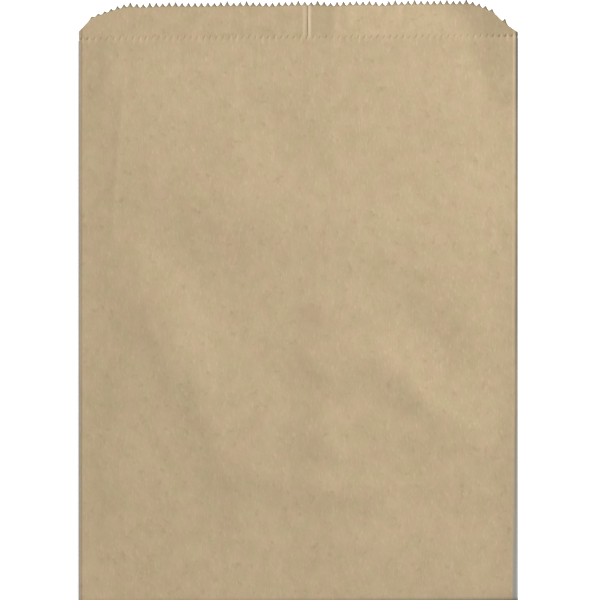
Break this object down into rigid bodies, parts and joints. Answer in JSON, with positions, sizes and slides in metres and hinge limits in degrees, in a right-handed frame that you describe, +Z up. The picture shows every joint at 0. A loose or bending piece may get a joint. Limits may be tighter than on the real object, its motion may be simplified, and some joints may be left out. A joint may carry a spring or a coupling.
{
  "type": "paper bag",
  "caption": "Flat kraft paper bag lying on its back, with a pinked open mouth, a raised rear lip, a glued back lap and a glued bottom flap.",
  "frame": {"origin": "on the ground under the middle of the bag as it lies on its back", "axes": "+X across the bag to the right as seen from the front, +Y up the bag towards its mouth, +Z up out of the front"},
  "size_m": [0.216, 0.2956, 0.003],
  "materials": {
    "kraft_paper": "uncoated, matt, unprinted"
  },
  "bodies": {
    "root": {"paper_bag": "kraft_paper"}
  },
  "joints": []
}
